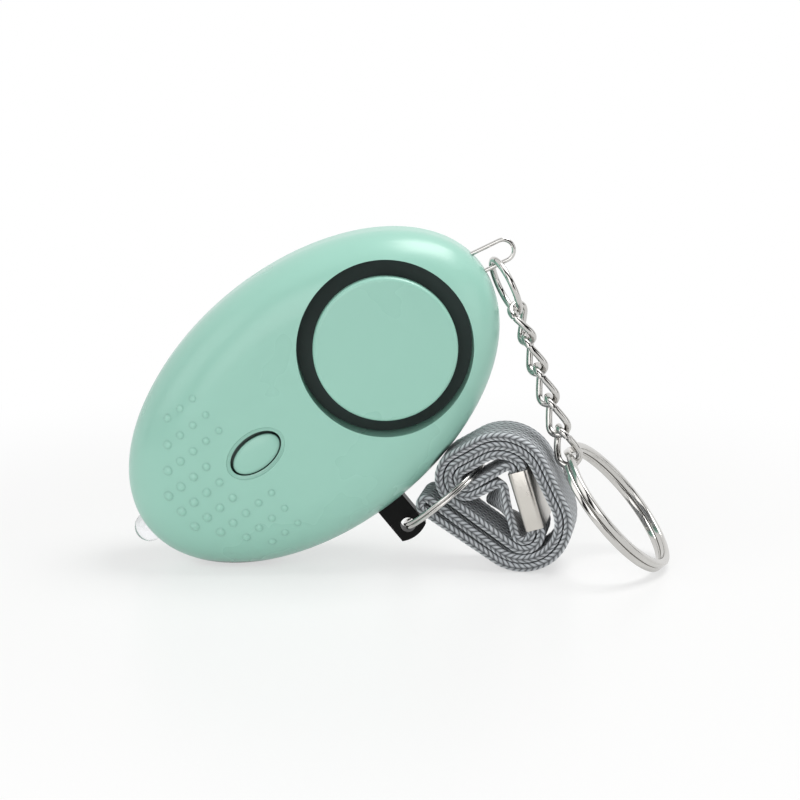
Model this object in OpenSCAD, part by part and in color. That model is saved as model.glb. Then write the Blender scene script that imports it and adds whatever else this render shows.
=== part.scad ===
// Personal safety alarm built as separate pieces in one shared frame, in millimetres.
// X runs to the right, Y away from the viewer and Z up from the floor.
// The casing has its own frame: x along its length toward the wide end,
// y across it and z out of its front face.

/* [Casing] */
// Length of the casing
body_l = 70; // [68:0.5:76]
// Width of the casing
body_w = 43.4; // [42.4:0.2:48]
// Thickness of the casing, front to back
body_t = 22; // [21.5:0.5:25]
// Reach of the rounded edge, in from the two ends
edge_run = 14; // [13:0.5:15]
// Half of the straight band round the rim
rim_band = 2; // [1.5:0.25:2.5]
// Wall of the two shells
wall = 1.8; // [1.6:0.1:2]
// Lean of the long axis from level, in degrees
tilt = 39; // [37:0.5:41]

/* [Siren] */
// Radius of the opening in the front
siren_r = 14.2; // [13.2:0.2:14.4]
// Width of the ring gap round the cover
siren_gap = 2.6; // [2:0.1:3.2]
// Distance from the wide end to the opening
siren_edge = 6; // [5.8:0.1:7]
// Lean of the siren toward the wide end, in degrees
siren_lean = 3; // [1:0.5:4]
// Depth of the well under the face
well_depth = 6.5; // [5.5:0.25:6.75]

/* [Light button] */
// Length of the oval button
button_l = 8.8; // [8:0.2:9.6]
// Width of the oval button
button_w = 5; // [4.6:0.2:5.4]
// Distance from the narrow end to the button's centre
button_end = 23.5; // [22.5:0.25:24]
// How far the button goes in
button_travel = 0.8; // [0.5:0.1:1]

/* [Grip dots] */
// Step between the dots along the casing
dot_step_x = 2.7; // [2.5:0.05:2.8]
// Step between the dots across the casing
dot_step_y = 3.3; // [3.2:0.02:3.4]
// Ball radius of the dots next to the button
dot_small = 0.8; // [0.7:0.05:0.9]
// Ball radius of the dots at the narrow end
dot_large = 1.15; // [1:0.05:1.2]

/* [Lamp] */
// Radius of the clear lamp
led_r = 2.5; // [2.2:0.1:2.6]
// How far the lamp's dome centre stands from the casing's end
led_out = 0.4; // [0:0.1:0.6]

/* [Pull pin] */
// Place of the pull pin along the casing
pin_x = -1.5; // [-2:0.25:-1]
// Width of the tab
tab_w = 5; // [4.6:0.2:5.4]
// Length of the tab outside the casing
tab_l = 7.1; // [7:0.1:7.4]
// Thickness of the tab
tab_t = 3.2; // [2.8:0.2:3.6]
// Radius of the hole in the tab
tab_hole_r = 1.25; // [1.2:0.05:1.4]

/* [Wrist strap] */
// Width of the webbing
strap_w = 10; // [9:0.25:10]
// Thickness of the webbing
strap_t = 1.1; // [0.95:0.05:1.1]
// Turn of the wound strap toward the viewer, in degrees
strap_yaw = 10; // [8:0.5:11]
// Wire of the ring between tab and strap
pin_wire = 0.6; // [0.5:0.05:0.65]

/* [Chain] */
// Wire of the bent loop on the casing
loop_wire = 0.7; // [0.6:0.05:0.8]
// Outer diameter of the ring on the loop
chain_ring_d = 10.4; // [10:0.2:11]
// Wire of the ring on the loop
chain_ring_wire = 1; // [0.9:0.05:1.1]
// Inner length of a link
link_in = 5.45; // [5.3:0.05:5.45]
// Outer width of a link
link_out = 4.8; // [4.75:0.05:4.9]
// Wire of a link
link_wire = 1.15; // [1.05:0.05:1.2]
// Lean of the chain toward the viewer, in degrees
chain_front = 9; // [8:0.5:10]

/* [Key ring] */
// Outer diameter of the key ring
key_d = 25; // [24:0.5:25]
// Height of one turn of the key ring
key_turn = 1; // [0.9:0.05:1]
// Breadth of the key ring's band
key_band = 1.3; // [1.1:0.1:1.3]

/* [Output] */
// Piece to draw

/* [Hidden] */
$fn = 72;

mint = [0.6, 0.78, 0.72];
dark = [0.1, 0.11, 0.11];
steel = [0.75, 0.75, 0.76];
brass = [0.8, 0.65, 0.35];
webbing = [0.54, 0.56, 0.57];
board_green = [0.1, 0.35, 0.2];

half_l = body_l / 2;
half_w = body_w / 2;
half_t = body_t / 2;

// Clearances: a still piece in a recess, a sliding piece in its bore, wire beside wire
fit = 0.15;
slip = 0.05;
wire_gap = 0.15;
// Room that a cutter runs past the faces it cuts
past = 1;

function unit(v) = v / norm(v);

// The casing's surface: a turned shape with a straight rim, a round edge and a flat face,
// pulled out to an oval. The value g moves the surface outward.
function edge_h(g) = half_t - rim_band + g;
function mould_r(g) = edge_h(g) * (half_l + g) / (edge_run + g);
function flat_r(g) = mould_r(g) - edge_h(g);
function spread(x, y, g) = norm([x / (half_l + g), y / (half_w + g)]) * mould_r(g);
function over_edge(x, y, g) = max(0, spread(x, y, g) - flat_r(g));
function skin_z(x, y, g) = rim_band + sqrt(pow(edge_h(g), 2) - pow(over_edge(x, y, g), 2));
// Direction straight out of the outer surface, from the heights close by
near_by = 0.05;
function skin_out(x, y) = unit([
  skin_z(x - near_by, y, 0) - skin_z(x + near_by, y, 0),
  skin_z(x, y - near_by, 0) - skin_z(x, y + near_by, 0),
  2 * near_by
]);

casing_z = norm([half_l * sin(tilt), half_w * cos(tilt)]);
casing_left = norm([half_l * cos(tilt), half_w * sin(tilt)]);
function to_world(p) =
  [p.x * cos(tilt) - p.y * sin(tilt), -p.z, casing_z + p.x * sin(tilt) + p.y * cos(tilt)];

// Shell joint: a tongue on the back half runs in a recess of the front half
lip_t = 0.7;
lip_h = 1.2;
lip_in = 1;
joint_z = lip_h + 0.1;

// Siren
siren_x = half_l - siren_edge - siren_r;
cover_r = siren_r - siren_gap;
cover_t = 2.4;
cover_sink = 0.2;
cover_round = 0.7;
post_r = 1.4;
post_in = 3.4;
post_at = cover_r - post_in;
well_z = half_t - well_depth;
collar_wall = 0.8;
housing_r = siren_r + collar_wall;
housing_t = 1.2;
skirt_t = 1.6;
skirt_h = 1.8;
sound_r = 5;
plate_t = 0.3;
plate_r = housing_r - skirt_t - fit;
ceramic_r = 9;
function siren_pt(x, z) =
  [siren_x + x * cos(siren_lean) + z * sin(siren_lean), z * cos(siren_lean) - x * sin(siren_lean)];

// Batteries and their door
cell_d = 11.6;
cell_h = 5.4;
cell_room = 0.1;
cell_step = cell_d + cell_room;
strip_low = 0.5;
strip_top = 0.4;
tray_wall = 0.8;
tray_roof = 1;
floor_z = -(half_t - wall);
tray_x1 = flat_r(-wall) * (half_l - wall) / mould_r(-wall);
tray_x0 = tray_x1 - 3 * cell_step - cell_room - 2 * tray_wall;
tray_y = cell_d / 2 + cell_room + tray_wall;
cell_x0 = tray_x0 + tray_wall + cell_room + cell_d / 2;
cell_x2 = cell_x0 + 2 * cell_step;
cell_z0 = floor_z + strip_low;
cell_z1 = cell_z0 + cell_h;
roof_z = cell_z1 + strip_top;
door_t = 1.2;
door_ledge = 1.2;
door_y = tray_y - tray_wall + door_ledge;
door_x1 = tray_x1 - tray_wall + door_ledge;
door_tail = 6.2;
door_x0 = tray_x0 - door_tail;
door_screw_x = tray_x0 - door_tail / 2;
strip_w = 6;
strip_end = 3;
tail_half = 1;
tail_slot = 1.5;
tail_past = 1.4;
tail_y = tray_y + tail_past;
// Radius of the battery leads and how far one stands off the tray's side
wire_r = 0.4;
wire_out = 0.8;

// Board and what stands on it
board_z0 = roof_z + tray_roof;
board_t = 1.6;
board_z1 = board_z0 + board_t;
board_end = 7;
board_gap = 0.7;
board_over = 0.35;
board_share = 0.43;
board_x0 = -half_l + board_end;
board_x1 = siren_x - housing_r - board_gap;
board_y = half_w * board_share;
board_low = tray_y + board_over;
board_post_end = 3;
board_post_x = board_x0 + board_post_end;
board_post_in = 3.4;
board_post_y = board_y - board_post_in;
board_post_r = 1.5;
lead_lap = 1.5;
chip_size = [4, 5, 1.5];
chip_at = [7, 3.4];
coil_at = [6.5, 4.6];
coil_r = 3.6;
coil_core = 2.6;
coil_h = 5;
coil_rim = 1;
transistor_at = [6, -5];
transistor_r = 2.4;
transistor_h = 4.6;
transistor_flat = 1.4;
// Sounder leads: where they leave the sounder, how far apart, how far onto the board
drop_at = -10.5;
drop_side = 2;
drop_lap = 2.5;
button_x = -half_l + button_end;
switch_a = 6;
switch_h = 3.6;
plunger_r = 1.7;
plunger_up = 1.1;
plunger_in = 1.1;
switch_z1 = board_z1 + switch_h;
plunger_z1 = switch_z1 + plunger_up;
flange_out = 1.2;
flange_t = 1;
flange_z = half_t - wall - fit;
button_crown = 0.55;
button_sink = 0.5;
button_top = half_t - button_sink;
dish_out = 1;
dish_deep = 0.7;
// The button stands a little low in its wider hole
button_room = 0.35;
button_low = 0.2;

// Screws
screw_r = 0.95;
screw_head_r = 2;
screw_head_h = 1.4;
screw_hole_r = 1.25;
screw_reach = 5;
screw_spare = 0.5;
slot_l = 1.2;
slot_w = 0.25;
boss_r = 2.3;
boss_back = 1.5;
boss_near = 0.67;
boss_wide = 0.76;
boss_x = button_x - boss_back;
boss_y = half_w * boss_near;
boss_far = [siren_x - housing_r + boss_r + fit, half_w * boss_wide];
boss_at = [[boss_x, boss_y], [boss_x, -boss_y], boss_far];
head_deep = 4;
head_seat_z = -half_t + head_deep;

// Lamp
led_flange_out = 0.4;
led_flange_r = led_r + led_flange_out;
led_flange_t = 1;
led_back = 1.9;
led_tip_x = -half_l - led_out;
led_base_x = -half_l + wall + led_back;
lead_r = 0.25;
lead_y = 1.27;

// Pull pin, in the casing frame
tab_gap = 0.1;
tab_edge = -half_w - tab_gap;
tab_hole_in = 4.8;
tab_hole = [pin_x, tab_edge - tab_hole_in, 0];
tab_round = 5;
neck_w = 3.4;
neck_t = 2.2;
neck_l = 7.7;
neck_y = tab_edge + neck_l;
prong_r = 0.5;
prong_x = 0.9;
prong_root = 3;
socket_w = 7.2;
socket_t = 5.2;
socket_in = 0.5;
socket_y0 = -half_w + wall + socket_in;
rib_half = 3;
rib_end = 2;
blade_t = 0.4;
blade_room = 1;
socket_y1 = -tray_y - blade_room - blade_t;
prong_l = socket_y1 - slip - neck_y;
blade_w = 0.7;
blade_h = 2;

// Wire loop, in a frame that leans a little from the casing's long axis
loop_r = loop_wire / 2;
loop_half = 1.73;
loop_reach = 4.35;
loop_in = 7;
loop_foot = 2;
loop_lean = -13;
loop_y = 0.2;
loop_hook = 2.2;
// Block under the loop's feet: inner and outer distance from the end, half breadth
block_in = 8;
block_out = 3.2;
block_y = 4.5;
function loop_pt(x, y) = [
  half_l + x * cos(loop_lean) - y * sin(loop_lean),
  loop_y + x * sin(loop_lean) + y * cos(loop_lean),
  0
];

// A direction that hangs down, leaning right and toward the viewer
function hang(right, front) = [sin(right) * cos(front), -sin(front), -cos(right) * cos(front)];

// Where the wound strap hangs, and the middle of its upper bend, right and up in the world
hole_at = to_world(tab_hole);
eye_right = 10.5;
top_mid = [5.5, -0.65];
top_r = 7.95;
roll_low = -14.75;
roll_at = [hole_at.x + (eye_right + top_mid.x) * cos(strap_yaw), strap_t / 2 - roll_low + top_mid.y];

// Ring on the loop
ring_lean = 26;
ring_front = 8.5;
ring_spin = -76;
ring_r = (chain_ring_d - chain_ring_wire) / 2;
ring_dir = hang(ring_lean, ring_front);
ring_rise = chain_ring_wire / 2 + loop_r + wire_gap;
ring_top = to_world(loop_pt(loop_hook, -loop_half)) - ring_dir * ring_rise;
ring_mid = ring_top + ring_dir * ring_r;
ring_low = ring_mid + ring_dir * ring_r;

// Links
link_b = (link_out - link_wire) / 2;
link_a = (link_in + link_wire) / 2;
link_flat = link_a - link_b;
// Each link turns about its length from its upper angle to its lower one, in degrees,
// and the chain itself turns a little from link to link
link_count = 5;
link_upper = -125;
link_lower = -35;
link_turn = 7;
first_more = -25;
last_more = 23;
function link_ends(i) = [
  link_upper + link_turn * (i - 1) + (i == 1 ? first_more : 0),
  link_lower + link_turn * (i - 1) + (i == link_count ? last_more : 0)
];
first_gap = 0.3;
link_step = link_in - wire_gap;
// The chain leans so far that its links pass clear of the strap's upper bend
chain_past = 2.75;
roll_reach = top_r + strap_t / 2 + chain_past;
roll_away = [ring_low.x - roll_at.x, ring_low.z - roll_at.y];
chain_lean = asin(roll_reach / norm(roll_away)) - atan2(roll_away.x, roll_away.y);
chain_dir = hang(chain_lean, chain_front);
link_first = ring_low + chain_dir * (link_in / 2 - chain_ring_wire / 2 - first_gap);
function link_mid(i) = link_first + chain_dir * link_step * (i - 1);
end_turns = 8;
side_turns = 3;
tube_sides = 8;

// Key ring: its band lies in the middle of the last link's bend,
// and it leans until its lower side is close to the floor
key_front = 0;
key_spin = 79.5;
key_r = key_d / 2;
key_soft = 0.25;
key_top = link_mid(link_count) + chain_dir * link_flat;
floor_gap = 0.1;
halvings = 20;
function key_low(lean) = let (n = sin(lean) * sin(key_spin))
  key_top.z - (key_r - key_band / 2) * cos(lean) - key_r * sqrt(1 - n * n) - key_turn * n;
function key_settle(a, b, n) = let (m = (a + b) / 2)
  n < 1 ? m : key_low(m) > floor_gap ? key_settle(a, m, n - 1) : key_settle(m, b, n - 1);
least_lean = 15;
most_lean = 85;
key_lean = key_settle(least_lean, most_lean, halvings);
key_dir = hang(key_lean, key_front);
key_mid = key_top + key_dir * (key_r - key_band / 2);
key_side = [cos(key_lean) * cos(key_spin), sin(key_spin), sin(key_lean) * cos(key_spin)];
key_normal = cross(key_dir, key_side);
function key_reach(i) = key_r * sqrt(1 - pow(key_normal[i], 2)) + key_turn * abs(key_normal[i]);

// The whole part stands with the middle of its box over the origin
place_x = (casing_left - key_mid.x - key_reach(0)) / 2;
place_y = (key_reach(1) - key_mid.y - half_t) / 2;

// Wound strap, drawn in a plane through the tab's hole: right and up from the eye.
// Each stop is a centre with a radius; the strap lies on its right side when the
// radius is above zero and on its left side when it is below.
layer = 1.55;
eye_r = 1.45;
low_r = 7.65;
low_mid = [9.05, roll_low + low_r];
curl_mid = [-6.65, -4.7];
curl_r = 1.05;
peak_mid = [5.2, -2];
peak_r = 0.95;
crimp_top = [8.4, 1.65];
crimp_turn = -72.75;
crimp_l = 10;
crimp_past = 0.2;
turn_r = 1.35;
bend_r = 0.85;
bend_up = 0.3;
strap_shift = 0.6;
ring_far = [1.86, 1.26];
crimp_wall = 0.3;
crimp_room = 0.1;
eye = [eye_right, strap_t / 2 - roll_low - hole_at.z];

function along(a) = [cos(a), sin(a)];
function left_of(a) = [-sin(a), cos(a)];
crimp_d = along(crimp_turn);
crimp_n = left_of(crimp_turn);
crimp_left = crimp_top - crimp_n * layer / 2;
crimp_right = crimp_top + crimp_n * layer / 2;
bend_mid = crimp_left - crimp_n * bend_r - crimp_d * bend_up;
turn_mid = crimp_left + crimp_d * (crimp_l + crimp_past) - crimp_n * turn_r;
end_share = 0.42;
stops = [
  [crimp_right + crimp_d * crimp_l * end_share, 0],
  [bend_mid, bend_r + layer],
  [top_mid, top_r - 2 * layer],
  [[0, 0], eye_r],
  [bend_mid, -bend_r],
  [turn_mid, -turn_r],
  [peak_mid, peak_r],
  [[0, 0], -eye_r - layer],
  [top_mid, layer - top_r],
  [low_mid, layer - low_r],
  [curl_mid, curl_r],
  [low_mid, low_r],
  [top_mid, top_r],
  [[0, 0], eye_r + 2 * layer],
  [turn_mid, turn_r + layer],
  [crimp_right + crimp_d * crimp_l * (1 - end_share), 0]
];
last_stop = len(stops) - 1;
arc_step = 12;

function wrap(a) = (a % 360 + 360) % 360;
function heading(i) = let (v = stops[i + 1][0] - stops[i][0])
  atan2(v.y, v.x) - asin((stops[i + 1][1] - stops[i][1]) / norm(v));
function swing(i) = let (turn = heading(i) - heading(i - 1)) stops[i][1] > 0 ? wrap(turn) : -wrap(-turn);
function bends(i) = max(2, ceil(abs(swing(i)) / arc_step));
// Points of the strap's middle line, each with its heading
strap_line = concat(
  [[stops[0][0], heading(0)]],
  [for (i = [1 : last_stop - 1]) for (k = [0 : bends(i)])
    let (a = heading(i - 1) + swing(i) * k / bends(i)) [stops[i][0] - stops[i][1] * left_of(a), a]],
  [[stops[last_stop][0], heading(last_stop - 1)]]
);
strap_outline = concat(
  [for (v = strap_line) v[0] + left_of(v[1]) * strap_t / 2],
  [for (i = [len(strap_line) - 1 : -1 : 0]) strap_line[i][0] - left_of(strap_line[i][1]) * strap_t / 2]
);

// Length of the strap and its least gap to itself, measured on points along it
line_steps = [for (i = [1 : len(strap_line) - 1]) norm(strap_line[i][0] - strap_line[i - 1][0])];
function total(v, n) = n < 1 ? 0 : total(v, n - 1) + v[n - 1];
line_runs = [for (i = [0 : len(line_steps)]) total(line_steps, i)];
probe_step = 0.5;
same_place = 4;
function probes() = [for (i = [0 : len(line_steps) - 1])
  let (k = max(1, round(line_steps[i] / probe_step)))
  for (j = [0 : k - 1])
    let (part = j / k)
    [strap_line[i][0] * (1 - part) + strap_line[i + 1][0] * part, line_runs[i] + line_steps[i] * part]];
function least_gap(p) =
  min([for (a = p) for (b = p) if (b[1] - a[1] > same_place) norm(a[0] - b[0])]) - strap_t;

module in_casing()
  translate([place_x, place_y, casing_z]) rotate([0, -tilt, 0]) rotate([90, 0, 0]) children();
module at_siren() translate([siren_x, 0, 0]) rotate([0, siren_lean, 0]) children();
module hung(at, right, front, spin)
  translate([place_x, place_y, 0] + at) rotate([-front, -right, 0]) rotate([0, 0, spin]) children();
module in_strap()
  translate([place_x, place_y, 0] + hole_at) rotate([0, 0, -strap_yaw]) rotate([90, 0, 0]) children();
module at_loop() translate([half_l, loop_y, 0]) rotate([0, 0, loop_lean]) children();

// A profile turned in four quarters, each pulled out to an oval of the given half sizes
module turned(rx, ry, r)
  for (k = [0 : 3]) scale([rx / r, ry / r, 1])
    rotate([0, 0, 90 * k]) rotate_extrude(angle = 90) children();
module oval(rx, ry, z0, z1) turned(rx, ry, 1) translate([0, z0]) square([1, z1 - z0]);
module slab(x0, x1, y0, y1, z0, z1) translate([x0, y0, z0]) cube([x1 - x0, y1 - y0, z1 - z0]);
module upright(x, y, z0, z1, r) translate([x, y, z0]) cylinder(r = r, h = z1 - z0);
module rod_x(x0, x1, y, z, r) translate([x0, y, z]) rotate([0, 90, 0]) cylinder(r = r, h = x1 - x0);
module rod_y(x, y0, y1, z, r) translate([x, y0, z]) rotate([-90, 0, 0]) cylinder(r = r, h = y1 - y0);

// Room of the three cells inside the tray, drawn in by g
module cell_space(g, z0, z1)
  slab(tray_x0 + tray_wall + g, tray_x1 - tray_wall - g,
    tray_wall - tray_y + g, tray_y - tray_wall - g, z0, z1);

module half_pebble(g) turned(half_l + g, half_w + g, mould_r(g)) {
  square([flat_r(g), half_t + g]);
  square([mould_r(g), rim_band]);
  translate([flat_r(g), rim_band]) intersection() {
    circle(edge_h(g));
    square(edge_h(g));
  }
}

module hollow() {
  half_pebble(-wall);
  mirror([0, 0, 1]) half_pebble(-wall);
}

// Openings in the rim, shared by both shells
module rim_cuts() {
  rod_x(-half_l - past, led_base_x, 0, 0, led_r + slip);
  slab(pin_x - neck_w / 2 - fit, pin_x + neck_w / 2 + fit, -half_w - past, socket_y0,
    -neck_t / 2 - fit, neck_t / 2 + fit);
  at_loop() for (side = [-1, 1]) rod_x(-loop_in, past, side * loop_half, 0, loop_r + slip);
}

module grip_dots() {
  rows = [[0, 2], [0, 3], [0, 4], [2, 5], [2, 5], [2, 5], [0, 4], [0, 3], [0, 2]];
  first = 2.1;
  sink = 0.72;
  for (j = [0 : len(rows) - 1]) for (k = [rows[j][0] : rows[j][1]]) {
    x = button_x - first - dot_step_x * k;
    y = (4 - j) * dot_step_y;
    r = dot_small + (dot_large - dot_small) * k / 5;
    translate([x, y, skin_z(x, y, 0)] - skin_out(x, y) * sink * r) sphere(r = r);
  }
}

module front_shell() in_casing() color(mint)
  difference() {
    union() {
      difference() {
        half_pebble(0);
        hollow();
      }
      intersection() {
        half_pebble(-wall / 2);
        union() {
          at_siren() upright(0, 0, well_z, half_t + past, housing_r);
          for (p = boss_at) upright(p.x, p.y, joint_z, half_t, boss_r);
        }
      }
      grip_dots();
    }
    at_siren() upright(0, 0, well_z - past, half_t + past, siren_r);
    translate([button_x, 0, 0])
      oval(button_l / 2 + button_room, button_w / 2 + button_room, half_t - wall - past, half_t + past);
    translate([button_x, 0, half_t])
      scale([button_l / 2 + dish_out, button_w / 2 + dish_out, dish_deep]) sphere(r = 1);
    for (p = boss_at) upright(p.x, p.y, 0, joint_z + screw_reach, screw_r + slip);
    oval(half_l - lip_in + slip, half_w - lip_in + slip, -past, joint_z);
    rim_cuts();
  }

module back_shell() in_casing() color(mint)
  difference() {
    union() {
      difference() {
        mirror([0, 0, 1]) half_pebble(0);
        hollow();
      }
      difference() {
        oval(half_l - lip_in, half_w - lip_in, -lip_h, lip_h);
        oval(half_l - lip_in - lip_t, half_w - lip_in - lip_t, -lip_h - past, lip_h + past);
      }
      for (p = boss_at) intersection() {
        upright(p.x, p.y, -half_t, joint_z, boss_r);
        union() {
          mirror([0, 0, 1]) half_pebble(-wall / 2);
          slab(p.x - boss_r, p.x + boss_r, p.y - boss_r, p.y + boss_r, -past, joint_z);
        }
      }
      intersection() {
        mirror([0, 0, 1]) half_pebble(-wall / 2);
        union() {
          slab(half_l - block_in, half_l - block_out, -block_y, block_y, -half_t, -loop_r - slip);
          slab(pin_x - rib_half, pin_x + rib_half, socket_y0 + rib_end, socket_y1 - rib_end,
            -half_t, -socket_t / 2);
          for (side = [-1, 1])
            upright(board_post_x, side * board_post_y, -half_t, board_z0, board_post_r);
          upright(door_screw_x, 0, -half_t, board_z0, boss_r);
        }
      }
    }
    for (p = boss_at) {
      upright(p.x, p.y, -half_t - past, joint_z + past, screw_hole_r);
      upright(p.x, p.y, -half_t - past, head_seat_z, screw_head_r + fit);
    }
    slab(door_x0 - fit, door_x1 + fit, -door_y - fit, door_y + fit, -half_t - past, -half_t + door_t);
    cell_space(0, -half_t - past, floor_z + past);
    upright(door_screw_x, 0, -half_t - past, board_z0 - past, screw_r + slip);
    rim_cuts();
  }

module battery_door() in_casing() color(mint)
  difference() {
    union() {
      intersection() {
        mirror([0, 0, 1]) half_pebble(0);
        slab(door_x0, door_x1, -door_y, door_y, -half_t - past, -half_t + door_t);
      }
      cell_space(fit, -half_t + door_t - fit, floor_z);
    }
    upright(door_screw_x, 0, -half_t - past, floor_z + past, screw_hole_r);
    upright(door_screw_x, 0, -half_t - past, -half_t + door_t / 2, screw_head_r + fit);
  }

// A screw with its head seat at height z0, driven toward the front
module screw(x, y, z0, z1, head) {
  upright(x, y, z0, z1, screw_r);
  difference() {
    upright(x, y, z0 - head, z0, screw_head_r);
    slab(x - slot_l, x + slot_l, y - slot_w, y + slot_w, z0 - head - past, z0 - head / 2);
    slab(x - slot_w, x + slot_w, y - slot_l, y + slot_l, z0 - head - past, z0 - head / 2);
  }
}

module door_screw() in_casing() color(steel)
  screw(door_screw_x, 0, -half_t + door_t / 2, board_z0 - past - screw_spare, door_t / 2);

module case_screws() in_casing() color(steel)
  for (p = boss_at) screw(p.x, p.y, head_seat_z, joint_z + screw_reach - screw_spare, screw_head_h);

module siren_cover() in_casing() color(mint) at_siren() {
  translate([0, 0, half_t - cover_sink - cover_t]) rotate_extrude() {
    square([cover_r, cover_t - cover_round]);
    square([cover_r - cover_round, cover_t]);
    translate([cover_r - cover_round, cover_t - cover_round]) circle(cover_round);
  }
  for (a = [0, 120, 240]) rotate([0, 0, a])
    upright(post_at, 0, well_z, half_t - cover_sink - cover_t / 2, post_r);
}

module siren_housing() in_casing() color(dark) at_siren()
  difference() {
    upright(0, 0, well_z - housing_t - skirt_h, well_z, housing_r);
    upright(0, 0, well_z - housing_t - skirt_h - past, well_z - housing_t, housing_r - skirt_t);
    upright(0, 0, well_z - housing_t - past, well_z + past, sound_r);
  }

module piezo_plate() in_casing() color(brass) at_siren()
  upright(0, 0, well_z - housing_t - plate_t, well_z - housing_t, plate_r);

module piezo_ceramic() in_casing() color([0.9, 0.88, 0.8]) at_siren()
  upright(0, 0, well_z - housing_t - 2 * plate_t, well_z - housing_t - plate_t, ceramic_r);

// Two leads: down from the sounder, then over the board
module siren_leads() in_casing() color([0.7, 0.1, 0.1]) {
  lead_z = board_z1 + lead_r;
  drop = siren_pt(drop_at, well_z - housing_t - plate_t);
  for (y = [-drop_side, drop_side]) {
    rod_x(board_x1 - drop_lap, drop[0], y, lead_z, lead_r);
    translate([drop[0], y, lead_z]) sphere(r = lead_r);
    upright(drop[0], y, lead_z, drop[1] - slip, lead_r);
  }
}

module circuit_board() in_casing() color(board_green)
  slab(board_x0, board_x1, -board_low, board_y, board_z0, board_z1);

module controller_chip() in_casing() color(dark)
  translate([board_x1 - chip_at.x, chip_at.y, board_z1]) cube(chip_size);

module step_up_coil() in_casing() color([0.25, 0.22, 0.2])
  translate([board_x0 + coil_at.x, coil_at.y, board_z1]) {
    cylinder(r = coil_core, h = coil_h);
    cylinder(r = coil_r, h = coil_rim);
    translate([0, 0, coil_h - coil_rim]) cylinder(r = coil_r, h = coil_rim);
  }

module transistor() in_casing() color(dark)
  translate([board_x0 + transistor_at.x, transistor_at.y, board_z1])
    intersection() {
      cylinder(r = transistor_r, h = transistor_h);
      slab(-transistor_r, transistor_r, -transistor_flat, transistor_r, 0, transistor_h);
    }

module tactile_switch() in_casing() color(dark)
  difference() {
    slab(button_x - switch_a / 2, button_x + switch_a / 2, -switch_a / 2, switch_a / 2, board_z1, switch_z1);
    upright(button_x, 0, switch_z1 - plunger_in - button_travel - fit, switch_z1 + past, plunger_r + slip);
  }

module switch_plunger() in_casing() color([0.8, 0.8, 0.78])
  upright(button_x, 0, switch_z1 - plunger_in, plunger_z1, plunger_r);

module light_button() in_casing() color(mint) translate([button_x, 0, 0]) {
  translate([0, -button_low, 0]) {
    oval(button_l / 2, button_w / 2, flange_z - flange_t / 2, button_top);
    translate([0, 0, button_top]) scale([button_l / 2, button_w / 2, button_crown]) sphere(r = 1);
  }
  oval(button_l / 2 + flange_out, button_w / 2 + flange_out, flange_z - flange_t, flange_z);
  upright(0, 0, plunger_z1, flange_z - flange_t / 2, plunger_r);
}

module led() in_casing() color([0.9, 0.92, 0.95]) {
  rod_x(led_tip_x, led_base_x, 0, 0, led_r);
  translate([led_tip_x, 0, 0]) sphere(r = led_r);
  rod_x(led_base_x - led_flange_t, led_base_x, 0, 0, led_flange_r);
}

module led_leads() in_casing() color(steel)
  for (y = [-lead_y, lead_y]) rod_x(led_base_x, board_x0 + lead_lap, y, board_z1 + lead_r, lead_r);

module battery_tray() in_casing() color(dark)
  difference() {
    slab(tray_x0, tray_x1, -tray_y, tray_y, floor_z, board_z0);
    cell_space(0, floor_z - past, roof_z);
    upright(cell_x0, 0, roof_z - past, board_z0 + past, wire_r + slip);
    slab(cell_x2 - tail_slot, cell_x2 + tail_slot, tray_y - tray_wall - past, tray_y + past,
      floor_z - past, cell_z0 + fit);
  }

module battery_cells() in_casing() color(steel)
  for (i = [0 : 2]) upright(cell_x0 + i * cell_step, 0, cell_z0, cell_z1, cell_d / 2);

// A flat spring strip that reaches past two places along the casing
module strip(x0, x1, z0, z1) slab(x0 - strip_end, x1 + strip_end, -strip_w / 2, strip_w / 2, z0, z1);

module battery_links() in_casing() color(steel) {
  strip(cell_x0, cell_x0 + cell_step, floor_z, cell_z0);
  strip(cell_x0 + cell_step, cell_x2, cell_z1, roof_z);
}

module cell_contacts() in_casing() color(steel) {
  strip(cell_x0, cell_x0, cell_z1, roof_z);
  slab(cell_x2 - tail_half, cell_x2 + tail_half, -strip_w / 2, tail_y, floor_z, cell_z0);
}

// One lead up through the tray's roof, one round its side to the board's edge
module battery_leads() in_casing() color([0.1, 0.1, 0.1]) {
  side_y = tray_y + wire_out;
  edge_z = board_z0 + board_t / 2;
  upright(cell_x0, 0, roof_z, board_z0, wire_r);
  upright(cell_x2, side_y, cell_z0, edge_z, wire_r);
  translate([cell_x2, side_y, edge_z]) sphere(r = wire_r);
  rod_x(board_x1, cell_x2, side_y, edge_z, wire_r);
}

module pin_socket() in_casing() color(dark)
  difference() {
    slab(pin_x - socket_w / 2, pin_x + socket_w / 2, socket_y0, socket_y1, -socket_t / 2, socket_t / 2);
    slab(pin_x - neck_w / 2 - fit, pin_x + neck_w / 2 + fit, socket_y0 - past, neck_y + slip,
      -neck_t / 2 - fit, neck_t / 2 + fit);
    for (side = [-1, 1]) rod_y(pin_x + side * prong_x, neck_y - past, socket_y1 + past, 0, prong_r + slip);
  }

module contact_blades() in_casing() color(brass)
  for (side = [-1, 1]) translate([pin_x + side * prong_x, socket_y1, 0])
    slab(-blade_w, blade_w, 0, blade_t, -blade_h, blade_h);

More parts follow.
